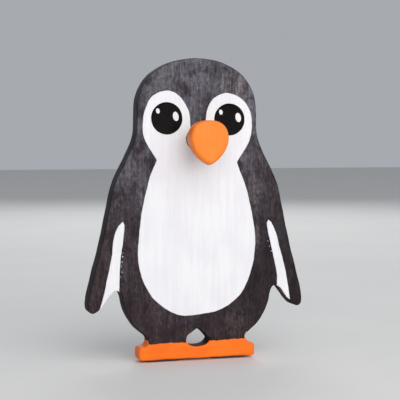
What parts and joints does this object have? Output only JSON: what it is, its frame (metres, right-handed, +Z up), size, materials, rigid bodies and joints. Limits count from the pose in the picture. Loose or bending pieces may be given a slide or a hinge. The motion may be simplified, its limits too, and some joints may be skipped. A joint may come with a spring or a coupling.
{
  "type": "eyeglasses display stand",
  "caption": "Wooden penguin figure that stands on a table and holds a folded pair of eyeglasses on the peg behind its raised beak.",
  "frame": {"origin": "middle of the stand's footprint box, on the table", "axes": "+Z up, -Y the side that the penguin's face is on, X across the figure"},
  "size_m": [0.1162, 0.0812, 0.157],
  "materials": {
    "black_stain": "thin black stain over sanded wood, vertical grain showing",
    "beak_orange": "satin orange paint over rounded wood",
    "orange_paint": "satin orange paint film",
    "white_paint": "satin white paint film, brushed",
    "black_paint": "glossy black paint film",
    "bare_wood": "bare sanded hardwood",
    "felt": "pressed dark felt"
  },
  "bodies": {
    "root": {"body_board": "black_stain", "beak": "beak_orange", "nose_peg": "bare_wood", "tail_prop": "black_stain", "upper_dowel": "bare_wood", "lower_dowel": "bare_wood", "face_and_belly_coat": "white_paint", "pupil_left": "black_paint", "pupil_right": "black_paint", "highlights_left": "white_paint", "highlights_right": "white_paint", "wing_stripe_left": "white_paint", "wing_stripe_right": "white_paint", "feet_coat": "orange_paint", "foot_pad_left": "felt", "foot_pad_right": "felt", "tail_pad": "felt"}
  },
  "joints": []
}
